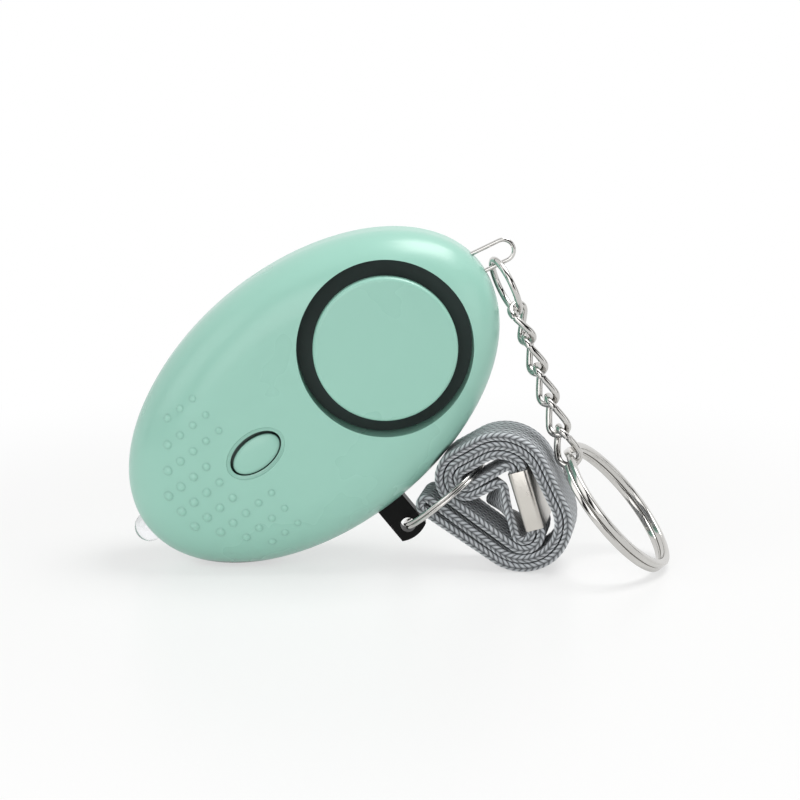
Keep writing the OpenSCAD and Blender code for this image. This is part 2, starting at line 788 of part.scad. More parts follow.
module pull_tab() in_casing() color(dark)
  difference() {
    union() {
      intersection() {
        slab(pin_x - tab_w / 2, pin_x + tab_w / 2, tab_edge - tab_l, tab_edge, -tab_t / 2, tab_t / 2);
        upright(pin_x, tab_edge - tab_l + tab_round, -tab_t, tab_t, tab_round);
      }
      slab(pin_x - tab_w / 2, pin_x + tab_w / 2, tab_edge - tab_l / 2, tab_edge, -tab_t / 2, tab_t / 2);
      slab(pin_x - neck_w / 2, pin_x + neck_w / 2, tab_edge - past, neck_y, -neck_t / 2, neck_t / 2);
    }
    upright(tab_hole.x, tab_hole.y, -tab_t, tab_t, tab_hole_r);
    for (side = [-1, 1]) rod_y(pin_x + side * prong_x, neck_y - prong_root, neck_y + past, 0, prong_r);
  }

module pin_prongs() in_casing() color(brass)
  for (side = [-1, 1]) rod_y(pin_x + side * prong_x, neck_y - prong_root, neck_y + prong_l, 0, prong_r);

// The ring passes the tab's hole and ends in the strap's eye; both turns lie side by side
ring_end = eye + ring_far;
ring_span = norm(ring_end);
pin_ring_r = (pow(ring_span, 2) + pow(strap_shift, 2)) / (2 * ring_span);
turn_side = pin_wire * 0.48;

module pin_ring() in_strap() color(steel)
  rotate([0, 0, atan2(ring_end.y, ring_end.x)])
    translate([ring_span - pin_ring_r, 0, strap_shift])
      rotate([90, 0, 0])
        rotate_extrude() for (side = [-1, 1]) translate([pin_ring_r, side * turn_side]) circle(pin_wire / 2);

module wrist_strap() in_strap() color(webbing) {
  echo(strap_length = line_runs[len(line_steps)], strap_least_gap = least_gap(probes()));
  translate([eye.x, eye.y, strap_shift - strap_w / 2]) linear_extrude(strap_w) polygon(strap_outline);
}

module strap_crimp() in_strap() color(steel) {
  thick = layer + strap_t + 2 * crimp_room;
  wide = strap_w + 2 * crimp_room;
  translate([eye.x + crimp_top.x, eye.y + crimp_top.y, strap_shift])
    rotate([0, 0, crimp_turn])
      difference() {
        translate([0, -thick / 2 - crimp_wall, -wide / 2 - crimp_wall])
          cube([crimp_l, thick + 2 * crimp_wall, wide + 2 * crimp_wall]);
        translate([-past, -thick / 2, -wide / 2]) cube([crimp_l + 2 * past, thick, wide]);
      }
}

module wire_loop() in_casing() color(steel) at_loop() {
  for (side = [-1, 1]) {
    rod_x(-loop_in, loop_reach, side * loop_half, 0, loop_r);
    translate([-loop_in, side * loop_half, 0]) sphere(r = loop_r);
    foot_y = side * (loop_half + loop_foot / 2);
    rod_y(-loop_in, foot_y - loop_foot / 2, foot_y + loop_foot / 2, 0, loop_r);
  }
  translate([loop_reach, 0, 0]) rotate([0, 0, -90])
    rotate_extrude(angle = 180) translate([loop_half, 0]) circle(loop_r);
}

module chain_ring() color(steel) hung(ring_mid, ring_lean, ring_front, ring_spin)
  rotate([90, 0, 0]) rotate_extrude() translate([ring_r, 0]) circle(chain_ring_wire / 2);

// A link: a long loop with round ends, twisted about its length and swept with a round wire
link_half = concat(
  [for (i = [0 : end_turns]) let (a = 180 * i / end_turns) [link_b * cos(a), link_flat + link_b * sin(a)]],
  [for (i = [1 : side_turns - 1]) [-link_b, link_flat * (1 - 2 * i / side_turns)]]
);
link_loop = concat(link_half, -link_half);
link_n = len(link_loop);
function link_angle(z, ends) = ends[0] + (ends[1] - ends[0]) * (link_a - z) / (2 * link_a);
function link_point(i, ends) = let (p = link_loop[(i + link_n) % link_n], a = link_angle(p.y, ends))
  [p.x * cos(a), p.x * sin(a), p.y];
function tube_point(i, k, ends) =
  let (
    a = link_angle(link_loop[i].y, ends),
    run = unit(link_point(i + 1, ends) - link_point(i - 1, ends)),
    u = unit(cross(run, [-sin(a), cos(a), 0])),
    v = cross(run, u),
    turn = 360 * k / tube_sides
  )
  link_point(i, ends) + (u * cos(turn) + v * sin(turn)) * link_wire / 2;

module link(which) color(steel) hung(link_mid(which), chain_lean, chain_front, 0)
  polyhedron(
    points = [for (i = [0 : link_n - 1]) for (k = [0 : tube_sides - 1]) tube_point(i, k, link_ends(which))],
    faces = [for (i = [0 : link_n - 1]) for (k = [0 : tube_sides - 1])
      let (j = (i + 1) % link_n, m = (k + 1) % tube_sides)
      [i * tube_sides + k, j * tube_sides + k, j * tube_sides + m, i * tube_sides + m]]
  );

module chain_link_1() link(1);
module chain_link_2() link(2);
module chain_link_3() link(3);
module chain_link_4() link(4);
module chain_link_5() link(5);

module key_turn_shape(z0) {
  r0 = key_r - key_band;
  polygon([
    [r0 + key_soft, z0], [key_r - key_soft, z0], [key_r, z0 + key_soft], [key_r, z0 + key_turn - key_soft],
    [key_r - key_soft, z0 + key_turn], [r0 + key_soft, z0 + key_turn], [r0, z0 + key_turn - key_soft],
    [r0, z0 + key_soft]
  ]);
}

module key_ring() color(steel) hung(key_mid, key_lean, key_front, key_spin)
  rotate([90, 0, 0]) rotate_extrude() {
    key_turn_shape(-key_turn);
    key_turn_shape(0);
  }

front_shell();
back_shell();
battery_door();
door_screw();
case_screws();
siren_cover();
siren_housing();
piezo_plate();
piezo_ceramic();
siren_leads();
circuit_board();
controller_chip();
step_up_coil();
transistor();
tactile_switch();
switch_plunger();
light_button();
led();
led_leads();
battery_tray();
battery_cells();
battery_links();
cell_contacts();
battery_leads();
pin_socket();
contact_blades();
pull_tab();
pin_prongs();
pin_ring();
wrist_strap();
strap_crimp();
wire_loop();
chain_ring();
chain_link_1();
chain_link_2();
chain_link_3();
chain_link_4();
chain_link_5();
key_ring();
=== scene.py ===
import math
import bpy
from mathutils import Matrix, Vector


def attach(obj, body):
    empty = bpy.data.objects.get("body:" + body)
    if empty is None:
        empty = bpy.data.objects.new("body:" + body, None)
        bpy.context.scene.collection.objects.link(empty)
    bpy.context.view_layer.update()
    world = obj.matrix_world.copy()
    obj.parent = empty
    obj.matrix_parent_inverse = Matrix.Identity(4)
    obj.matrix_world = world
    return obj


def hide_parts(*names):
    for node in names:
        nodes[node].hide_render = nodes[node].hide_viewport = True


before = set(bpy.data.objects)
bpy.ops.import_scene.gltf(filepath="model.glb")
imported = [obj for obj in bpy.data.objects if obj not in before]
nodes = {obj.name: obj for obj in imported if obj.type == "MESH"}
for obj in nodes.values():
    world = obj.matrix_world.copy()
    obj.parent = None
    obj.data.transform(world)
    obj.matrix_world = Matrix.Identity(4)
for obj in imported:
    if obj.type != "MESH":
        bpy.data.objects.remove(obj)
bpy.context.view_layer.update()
scene = bpy.context.scene
mm = 0.001
mergeWithin = 1e-7  # metres
reliefDepth = 0.2 * mm  # height of a full bump
print("frame loaded:", len(nodes), "nodes")


def deselectAll():
    if bpy.context.object and bpy.context.object.mode != "OBJECT":
        bpy.ops.object.mode_set(mode="OBJECT")
    bpy.ops.object.select_all(action="DESELECT")


def pick(obj):
    deselectAll()
    obj.select_set(True)
    bpy.context.view_layer.objects.active = obj


def applyPlace(obj):
    pick(obj)
    bpy.ops.object.transform_apply(location=True, rotation=True, scale=True)


def applyModifiers(obj):
    pick(obj)
    for m in list(obj.modifiers):
        bpy.ops.object.modifier_apply(modifier=m.name)


# merges doubles, points the faces outward and smooths all but the sharp edges
def closeMesh(obj, angle=40):
    pick(obj)
    bpy.ops.object.mode_set(mode="EDIT")
    bpy.ops.mesh.select_all(action="SELECT")
    bpy.ops.mesh.remove_doubles(threshold=mergeWithin)
    bpy.ops.mesh.normals_make_consistent(inside=False)
    bpy.ops.object.mode_set(mode="OBJECT")
    bpy.ops.object.shade_smooth_by_angle(angle=math.radians(angle))


def finishPiece(obj, body, slot, material, *replaced):
    obj.data.materials.clear()
    obj.data.materials.append(material)
    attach(obj, body)
    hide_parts(*replaced)


def turned(axis, degrees):
    return Matrix.Rotation(math.radians(degrees), 4, axis)


# the place of a piece that hangs, leaning right and toward the viewer
def hungAt(at, right, front, spin):
    lean = turned("Y", -right) @ turned("X", -front)
    return Matrix.Translation(Vector(at)) @ lean @ turned("Z", spin)


view = {
    "aim": (0.015, 3.28, 26.98), "distance": 350, "elevation": 12,
    "lens": 95.6, "sensor": 36, "near": 10,
}


def makeCamera():
    e = math.radians(view["elevation"])
    aim = Vector(view["aim"]) * mm
    away = Vector((0, -math.cos(e), math.sin(e))) * view["distance"] * mm
    bpy.ops.object.camera_add(location=aim + away, rotation=(math.pi / 2 - e, 0, 0))
    camera = bpy.context.object
    camera.data.lens = view["lens"]
    camera.data.sensor_width = view["sensor"]
    camera.data.clip_start = view["near"] * mm
    scene.camera = camera


deselectAll()
makeCamera()
scene.view_settings.view_transform = "Standard"

studio = {
    "ambient": 0.25,
    "front": {"at": (-110, -380, 170), "size": 320, "power": 0.66},
    "top": {"at": (130, 30, 400), "size": 220, "power": 1.15},
    "left": {"at": (-360, -120, 190), "size": 240, "power": 0.3},
    "right": {"at": (330, -160, 120), "size": 220, "power": 0.2},
    "aim": (0, 0, 22),
    # dark walls toward the viewer: place and size
    "walls": [((0, -520, 150), 1300), ((-640, -260, 150), 800), ((640, -260, 150), 800)],
    "wallColour": (0.012, 0.012, 0.013),
    "floorSize": 6000,
    "floorDrop": 0.03,
    "floorColour": (0.86, 0.86, 0.85),
    "floorRough": 0.35,
    "floorLift": 0.6,
    "fadeFrom": 60,  # the floor turns to the white of the background between these two
    "fadeTo": 150,
}


def newTree(name):
    material = bpy.data.materials.new(name)
    material.use_nodes = True
    tree = material.node_tree
    tree.nodes.clear()
    return material, tree


def math2(tree, operation, a, b=None):
    node = tree.nodes.new("ShaderNodeMath")
    node.operation = operation
    for i, v in enumerate((a, b)):
        if v is None:
            continue
        if isinstance(v, (int, float)):
            node.inputs[i].default_value = v
        else:
            tree.links.new(v, node.inputs[i])
    return node.outputs[0]


# one for what the camera sees, straight or through metal and glass
def seenRays(tree):
    path = tree.nodes.new("ShaderNodeLightPath")
    direct = math2(tree, "MAXIMUM", path.outputs["Is Camera Ray"], path.outputs["Is Glossy Ray"])
    return math2(tree, "MAXIMUM", direct, path.outputs["Is Transmission Ray"])


def makeWorld():
    world = bpy.data.worlds.new("studioAir")
    scene.world = world
    world.use_nodes = True
    tree = world.node_tree
    tree.nodes.clear()
    out = tree.nodes.new("ShaderNodeOutputWorld")
    mix = tree.nodes.new("ShaderNodeMixShader")
    soft = tree.nodes.new("ShaderNodeBackground")
    white = tree.nodes.new("ShaderNodeBackground")
    soft.inputs["Strength"].default_value = studio["ambient"]
    soft.inputs["Color"].default_value = (1, 1, 1, 1)
    white.inputs["Strength"].default_value = 1
    white.inputs["Color"].default_value = (1, 1, 1, 1)
    tree.links.new(seenRays(tree), mix.inputs[0])
    tree.links.new(soft.outputs[0], mix.inputs[1])
    tree.links.new(white.outputs[0], mix.inputs[2])
    tree.links.new(mix.outputs[0], out.inputs["Surface"])


def makeFloor():
    at = (0, 0, -studio["floorDrop"] * mm)
    bpy.ops.mesh.primitive_plane_add(size=studio["floorSize"] * mm, location=at)
    floor = bpy.context.object
    floor.name = "floor"
    applyPlace(floor)
    material, tree = newTree("paleFloor")
    out = tree.nodes.new("ShaderNodeOutputMaterial")
    mix = tree.nodes.new("ShaderNodeMixShader")
    paper = tree.nodes.new("ShaderNodeBsdfPrincipled")
    glow = tree.nodes.new("ShaderNodeEmission")
    place = tree.nodes.new("ShaderNodeTexCoord")
    away = tree.nodes.new("ShaderNodeVectorMath")
    away.operation = "LENGTH"
    fade = tree.nodes.new("ShaderNodeMapRange")
    fade.interpolation_type = "SMOOTHSTEP"
    fade.inputs["From Min"].default_value = studio["fadeFrom"] * mm
    fade.inputs["From Max"].default_value = studio["fadeTo"] * mm
    fade.inputs["To Min"].default_value = studio["floorLift"]
    fade.inputs["To Max"].default_value = 1
    paper.inputs["Base Color"].default_value = (*studio["floorColour"], 1)
    paper.inputs["Roughness"].default_value = studio["floorRough"]
    glow.inputs["Color"].default_value = (1, 1, 1, 1)
    tree.links.new(place.outputs["Object"], away.inputs[0])
    tree.links.new(away.outputs["Value"], fade.inputs["Value"])
    tree.links.new(math2(tree, "MULTIPLY", fade.outputs["Result"], seenRays(tree)), mix.inputs[0])
    tree.links.new(paper.outputs[0], mix.inputs[1])
    tree.links.new(glow.outputs[0], mix.inputs[2])
    tree.links.new(mix.outputs[0], out.inputs["Surface"])
    floor.data.materials.append(material)


def faceAim(at):
    return (Vector(studio["aim"]) * mm - at).to_track_quat("-Z", "Y").to_euler()


def makeLamp(name):
    at = Vector(studio[name]["at"]) * mm
    bpy.ops.object.light_add(type="AREA", location=at, rotation=faceAim(at))
    lamp = bpy.context.object
    lamp.name = name + "Lamp"
    lamp.data.energy = studio[name]["power"]
    lamp.data.size = studio[name]["size"] * mm


# dark walls that only the metal's reflections see
def makeWalls():
    material, tree = newTree("darkCloth")
    out = tree.nodes.new("ShaderNodeOutputMaterial")
    cloth = tree.nodes.new("ShaderNodeBsdfDiffuse")
    cloth.inputs["Color"].default_value = (*studio["wallColour"], 1)
    tree.links.new(cloth.outputs[0], out.inputs["Surface"])
    for i, (at, size) in enumerate(studio["walls"]):
        at = Vector(at) * mm
        bpy.ops.mesh.primitive_plane_add(size=size * mm, location=at, rotation=faceAim(at))
        wall = bpy.context.object
        wall.name = "wall" + str(i + 1)
        applyPlace(wall)
        wall.data.materials.append(material)
        wall.visible_camera = False
        wall.visible_diffuse = False
        wall.visible_shadow = False


makeWorld()
makeFloor()
for lampName in ("front", "top", "left", "right"):
    makeLamp(lampName)
makeWalls()
print("studio ready")


def newGroup(name, inputs, outputs):
    group = bpy.data.node_groups.new(name, "ShaderNodeTree")
    for label, kind, value in inputs:
        group.interface.new_socket(label, in_out="INPUT", socket_type=kind).default_value = value
    for label, kind in outputs:
        group.interface.new_socket(label, in_out="OUTPUT", socket_type=kind)
    return group, group.nodes.new("NodeGroupInput"), group.nodes.new("NodeGroupOutput")


# two sizes of unevenness: a fine grain for bump and a broad drift for colour and gloss
def makeGrainGroup():
    group, given, result = newGroup(
        "surfaceGrain",
        [("Fine", "NodeSocketFloat", 3000), ("Broad", "NodeSocketFloat", 60)],
        [("Grain", "NodeSocketFloat"), ("Drift", "NodeSocketFloat")],
    )
    place = group.nodes.new("ShaderNodeTexCoord")
    for label, scaleName, detail in (("Grain", "Fine", 2), ("Drift", "Broad", 3)):
        noise = group.nodes.new("ShaderNodeTexNoise")
        noise.inputs["Detail"].default_value = detail
        group.links.new(place.outputs["Object"], noise.inputs["Vector"])
        group.links.new(given.outputs[scaleName], noise.inputs["Scale"])
        group.links.new(noise.outputs["Fac"], result.inputs[label])
    return group


grainGroup = makeGrainGroup()
nookShade = {"samples": 24, "reach": 1.2, "power": 1.5}
edgeSamples = 6


# a finish that drifts between two colours and two roughnesses; fixed inputs go by their socket's name
def surface(
    name, light, dark, rough, fine=3000, broad=60, bump=0.02, metallic=0.0, edge=0.0, paintedCreviceShade=None, **fixed
):
    material, tree = newTree(name)
    out = tree.nodes.new("ShaderNodeOutputMaterial")
    shader = tree.nodes.new("ShaderNodeBsdfPrincipled")
    grain = tree.nodes.new("ShaderNodeGroup")
    grain.node_tree = grainGroup
    grain.inputs["Fine"].default_value = fine
    grain.inputs["Broad"].default_value = broad
    tint = tree.nodes.new("ShaderNodeMix")
    tint.data_type = "RGBA"
    tint.inputs["A"].default_value = (*dark, 1)
    tint.inputs["B"].default_value = (*light, 1)
    tree.links.new(grain.outputs["Drift"], tint.inputs["Factor"])
    colour = tint.outputs["Result"]
    if paintedCreviceShade:  # painted shade: narrow gaps and corners take a darker colour from the occlusion node
        nook = tree.nodes.new("ShaderNodeAmbientOcclusion")
        nook.samples = nookShade["samples"]
        nook.inputs["Distance"].default_value = nookShade["reach"] * mm
        shade = tree.nodes.new("ShaderNodeMix")
        shade.data_type = "RGBA"
        shade.inputs["A"].default_value = (*paintedCreviceShade, 1)
        clear = math2(tree, "POWER", nook.outputs["AO"], nookShade["power"])
        tree.links.new(clear, shade.inputs["Factor"])
        tree.links.new(colour, shade.inputs["B"])
        colour = shade.outputs["Result"]
    tree.links.new(colour, shader.inputs["Base Color"])
    gloss = tree.nodes.new("ShaderNodeMapRange")
    gloss.inputs["To Min"].default_value = rough[0]
    gloss.inputs["To Max"].default_value = rough[1]
    tree.links.new(grain.outputs["Drift"], gloss.inputs["Value"])
    tree.links.new(gloss.outputs["Result"], shader.inputs["Roughness"])
    relief = tree.nodes.new("ShaderNodeBump")
    relief.inputs["Strength"].default_value = bump
    relief.inputs["Distance"].default_value = reliefDepth
    tree.links.new(grain.outputs["Grain"], relief.inputs["Height"])
    if edge:  # moulded edges are a little round
        soft = tree.nodes.new("ShaderNodeBevel")
        soft.samples = edgeSamples
        soft.inputs["Radius"].default_value = edge * mm
        tree.links.new(soft.outputs["Normal"], relief.inputs["Normal"])
    tree.links.new(relief.outputs["Normal"], shader.inputs["Normal"])
    shader.inputs["Metallic"].default_value = metallic
    for label, value in fixed.items():
        shader.inputs[label.replace("_", " ")].default_value = value
    tree.links.new(shader.outputs[0], out.inputs["Surface"])
    return material


# the mint gets painted shade, a deep green, in its gaps, dishes and corners
mintPlastic = surface(
    "mintPlastic", (0.345, 0.63, 0.525), (0.315, 0.59, 0.49), (0.24, 0.32), bump=0.02, edge=0.05,
    paintedCreviceShade=(0.0, 0.03, 0.018),
)
darkPlastic = surface("darkPlastic", (0.045, 0.05, 0.05), (0.03, 0.034, 0.034), (0.4, 0.55), bump=0.08)
# dark plastic with a painted green tint that stands in for light bounced off the groove's mint walls
darkPlasticPaintedBounce = surface("darkPlasticPaintedBounce", (0.034, 0.058, 0.054), (0.024, 0.044, 0.041), (0.45, 0.6), bump=0.08)
blackPlastic = surface(
    "blackPlastic", (0.006, 0.006, 0.006), (0.003, 0.003, 0.003), (0.32, 0.45), bump=0.06, edge=0.25,
    Specular_IOR_Level=0.12,
)
palePlastic = surface("palePlastic", (0.62, 0.62, 0.6), (0.55, 0.55, 0.53), (0.4, 0.5))
polishedNickel = surface(
    "polishedNickel", (0.62, 0.61, 0.59), (0.54, 0.53, 0.51), (0.08, 0.16), 900, 240, 0.03, 1.0
)
satinNickel = surface(
    "satinNickel", (0.66, 0.635, 0.59), (0.57, 0.545, 0.505), (0.24, 0.36), 2600, 420, 0.12, 1.0
)
brightSteel = surface(
    "brightSteel", (0.72, 0.72, 0.71), (0.62, 0.62, 0.61), (0.16, 0.28), 1600, 300, 0.05, 1.0
)
stampedBrass = surface(
    "stampedBrass", (0.8, 0.6, 0.28), (0.7, 0.5, 0.22), (0.22, 0.34), 1200, 200, 0.05, 1.0
)
firedCeramic = surface("firedCeramic", (0.86, 0.83, 0.74), (0.78, 0.75, 0.66), (0.5, 0.62), 4000, 300, 0.1)
boardResin = surface("boardResin", (0.03, 0.16, 0.07), (0.02, 0.11, 0.05), (0.3, 0.45), 2400, 260, 0.08)
redSleeve = surface("redSleeve", (0.4, 0.02, 0.02), (0.3, 0.015, 0.015), (0.4, 0.5))
blackSleeve = surface("blackSleeve", (0.02, 0.02, 0.02), (0.012, 0.012, 0.012), (0.4, 0.5))
clearResin = surface(
    "clearResin", (0.96, 0.97, 0.98), (0.93, 0.94, 0.96), (0.04, 0.1), 1500, 200, 0.02,
    Transmission_Weight=1.0, IOR=1.5,
)


# herringbone webbing: the map runs in millimetres, round the section and along the strap
weave = {
    "pitch": 0.97, "columns": 16, "thread": 0.25, "rise": 0.11,
    "strandSoft": 0.9, "valleySoft": 0.7, "valleyLeast": 0.02, "threadRise": 0.08,
    "fine": 6000, "broad": 250, "drift": (0.3, 0.85), "rough": (0.2, 0.65), "sheen": 0.12,
    # deep in the valleys between strands and light on their crests: painted shade in the weave's valleys
    "light": (0.7, 0.73, 0.76), "deep": (0.035, 0.038, 0.043), "relief": 0.35,
}
strap = {
    "width": 10, "thick": 1.2, "corner": 0.58, "step": 0.19, "faceSteps": 30, "cornerSteps": 3,
    "hole": (1.35924, 3.2814, 6.12472), "yaw": 10, "shift": 0.6, "thickCad": 1.1,
    "layer": 1.55, "eyeR": 1.45, "eyeRight": 10.5,
    "top": (5.5, -0.65, 7.95), "low": (9.05, 7.65), "rollLow": -14.75,
    "curl": (-6.65, -4.7, 1.05), "peak": (5.5, -1.45, 0.95),
    "crimp": (8.4, 1.65), "crimpTurn": -72.75, "crimpL": 10, "crimpPast": 0.2,
    "turnR": 1.35, "bendR": 0.85, "bendUp": 0.3, "endShare": 0.42,
    "peakStop": 6, "foldSkew": 3.0,  # the peak's fold slants: its rear end lies this far along the next run
    "bulge": 2.6, "bulgeHigh": 1.3, "bulgeSharp": 1.5,  # and the run below it twists more to the left
    "lift": 0.2, "liftOver": 8,  # the roll flattens a little where it lies on the floor
    "pinch": 0.2, "pinchEase": 0.4, "pinchNear": 0.05,  # the clip presses the two ends thinner
    "ringFar": (1.86, 1.26),  # far side of the pin ring, from the eye
}


# a rounded section: its points with their outward directions
def roundedSection(width, thick, corner, flatSteps, cornerSteps):
    points = []
    w, t = width / 2 - corner, thick / 2 - corner
    for cx, cy, a0 in ((w, t, 0), (-w, t, 90), (-w, -t, 180), (w, -t, 270)):
        for k in range(cornerSteps + 1):
            a = math.radians(a0 + 90 * k / cornerSteps)
            out = Vector((math.cos(a), math.sin(a)))
            points.append((Vector((cx, cy)) + out * corner, out))
    full = []
    for (p, u), (q, v) in zip(points, points[1:] + points[:1]):
        n = flatSteps if (q - p).length > corner else 1
        full += [(p.lerp(q, k / n), u.lerp(v, k / n)) for k in range(n)]
    return full


section = roundedSection(*(strap[k] for k in ("width", "thick", "corner", "faceSteps", "cornerSteps")))
around = [strap["thick"] / 2 - strap["corner"]]  # measured from the middle of the front edge
for (p, u), (q, v) in zip(section, section[1:] + section[:1]):
    around.append(around[-1] + (q - p).length)
weaveColumn = (around[-1] - around[0]) / weave["columns"]


def weaveHeight(across, along):
    zig = abs((across + weaveColumn) % (2 * weaveColumn) - weaveColumn)
    strand = math.sin((along + zig) / weave["pitch"] % 1 * math.pi) ** weave["strandSoft"]
    least = weave["valleyLeast"]
    valley = math.sin(max(least, min(1 - least, zig / weaveColumn)) * math.pi) ** weave["valleySoft"]
    return strand * valley


def makeWebbing():
    material, tree = newTree("greyWebbing")
    out = tree.nodes.new("ShaderNodeOutputMaterial")
    shader = tree.nodes.new("ShaderNodeBsdfPrincipled")
    place = tree.nodes.new("ShaderNodeUVMap")
    place.uv_map = "strapRun"
    parts = tree.nodes.new("ShaderNodeSeparateXYZ")
    tree.links.new(place.outputs["UV"], parts.inputs[0])
    across, along = parts.outputs["X"], parts.outputs["Y"]
    zig = math2(tree, "PINGPONG", across, weaveColumn)
    slant = math2(tree, "ADD", along, zig)
    phase = math2(tree, "FRACT", math2(tree, "DIVIDE", slant, weave["pitch"]))
    arch = math2(tree, "SINE", math2(tree, "MULTIPLY", phase, math.pi))
    strand = math2(tree, "POWER", arch, weave["strandSoft"])
    side = math2(tree, "SINE", math2(tree, "MULTIPLY", zig, math.pi / weaveColumn))
    body = math2(tree, "MULTIPLY", strand, math2(tree, "POWER", side, weave["valleySoft"]))
    turns = math2(tree, "MULTIPLY", math2(tree, "SUBTRACT", along, zig), 2 * math.pi / weave["thread"])
    thread = math2(tree, "MULTIPLY", math2(tree, "SINE", turns), weave["threadRise"])
    height = math2(tree, "ADD", body, thread)
    grain = tree.nodes.new("ShaderNodeGroup")
    grain.node_tree = grainGroup
    grain.inputs["Fine"].default_value = weave["fine"]
    grain.inputs["Broad"].default_value = weave["broad"]
    share, base = weave["drift"]
    drift = math2(tree, "ADD", math2(tree, "MULTIPLY", grain.outputs["Drift"], share), base)
    # painted shade: the colour follows the weave's height, deepest in the valleys between strands
    tint = tree.nodes.new("ShaderNodeMix")
    tint.data_type = "RGBA"
    tint.inputs["A"].default_value = (*weave["deep"], 1)
    tint.inputs["B"].default_value = (*weave["light"], 1)
    tree.links.new(math2(tree, "MULTIPLY", height, drift), tint.inputs["Factor"])
    tree.links.new(tint.outputs["Result"], shader.inputs["Base Color"])
    share, base = weave["rough"]
    gloss = math2(tree, "ADD", math2(tree, "MULTIPLY", grain.outputs["Grain"], share), base)
    tree.links.new(gloss, shader.inputs["Roughness"])
    relief = tree.nodes.new("ShaderNodeBump")
    relief.inputs["Strength"].default_value = weave["relief"]
    relief.inputs["Distance"].default_value = reliefDepth
    tree.links.new(height, relief.inputs["Height"])
    tree.links.new(relief.outputs["Normal"], shader.inputs["Normal"])
    shader.inputs["Sheen Weight"].default_value = weave["sheen"]
    tree.links.new(shader.outputs[0], out.inputs["Surface"])
    return material


greyWebbing = makeWebbing()
print("materials ready")

cadFinish = {
    mintPlastic: ["front_shell", "back_shell", "battery_door", "siren_cover", "light_button"],
    darkPlasticPaintedBounce: ["siren_housing"],
    darkPlastic: ["controller_chip", "step_up_coil", "transistor", "tactile_switch"],
    blackPlastic: ["pull_tab", "battery_tray", "pin_socket"],
    palePlastic: ["switch_plunger"],
    brightSteel: ["door_screw", "case_screws", "led_leads", "battery_cells", "battery_links", "cell_contacts"],
    polishedNickel: ["wire_loop"],
    stampedBrass: ["piezo_plate", "contact_blades", "pin_prongs"],
    firedCeramic: ["piezo_ceramic"],
    boardResin: ["circuit_board"],
    redSleeve: ["siren_leads"],
    blackSleeve: ["battery_leads"],
    clearResin: ["led"],
}
for material, names in cadFinish.items():
    for name in names:
        nodes[name].data.materials.clear()
        nodes[name].data.materials.append(material)
print("casing and inner pieces finished")


# a skin over rings of points, in millimetres; capped at its ends unless it closes on itself
def skinRings(name, rings, closed, maps=None):
    ring, last = len(rings[0]), len(rings)
    verts = [Vector(p) * mm for points in rings for p in points]
    faces, uvs = [], []
    for i in range(last if closed else last - 1):
        j = (i + 1) % last
        for k in range(ring):
            m = (k + 1) % ring
            faces.append((i * ring + k, i * ring + m, j * ring + m, j * ring + k))
            if maps:
                (a, s), (b, t) = (around[k], maps[i]), (around[k + 1], maps[j])
                uvs += [a, s, b, s, b, t, a, t]
    if not closed:
        for i in (0, last - 1):
            faces.append(tuple(i * ring + k for k in range(ring)))
            uvs += [c for k in range(ring) for c in (around[k], maps[i])] if maps else []
    mesh = bpy.data.meshes.new(name)
    mesh.from_pydata(verts, [], faces)
    if maps:
        mesh.uv_layers.new(name="strapRun").data.foreach_set("uv", uvs)
    obj = bpy.data.objects.new(name, mesh)
    scene.collection.objects.link(obj)
    closeMesh(obj, 50)
    return obj


def strapStops():
    s = strap
    layer = s["layer"]
    turn = math.radians(s["crimpTurn"])
    run = Vector((math.cos(turn), math.sin(turn)))
    side = Vector((-math.sin(turn), math.cos(turn)))
    top = Vector(s["crimp"])
    left, right = top - side * layer / 2, top + side * layer / 2
    bend = left - side * s["bendR"] - run * s["bendUp"]
    turnMid = left + run * (s["crimpL"] + s["crimpPast"]) - side * s["turnR"]
    eye = Vector((0, 0))
    topMid, topR = Vector(s["top"][:2]), s["top"][2]
    lowMid, lowR = Vector((s["low"][0], s["rollLow"] + s["low"][1])), s["low"][1]
    curl, curlR = Vector(s["curl"][:2]), s["curl"][2]
    peak, peakR = Vector(s["peak"][:2]), s["peak"][2]
    return [
        (right + run * s["crimpL"] * s["endShare"], 0), (bend, s["bendR"] + layer), (topMid, topR - 2 * layer),
        (eye, s["eyeR"]), (bend, -s["bendR"]), (turnMid, -s["turnR"]), (peak, peakR), (eye, -s["eyeR"] - layer),
        (topMid, layer - topR), (lowMid, layer - lowR), (curl, curlR), (lowMid, lowR), (topMid, topR),
        (eye, s["eyeR"] + 2 * layer), (turnMid, s["turnR"] + layer),
        (right + run * s["crimpL"] * (1 - s["endShare"]), 0),
    ]


# smooth step from 0 to 1
def easeIn(x):
    x = max(0, min(1, x))
    return x * x * (3 - 2 * x)


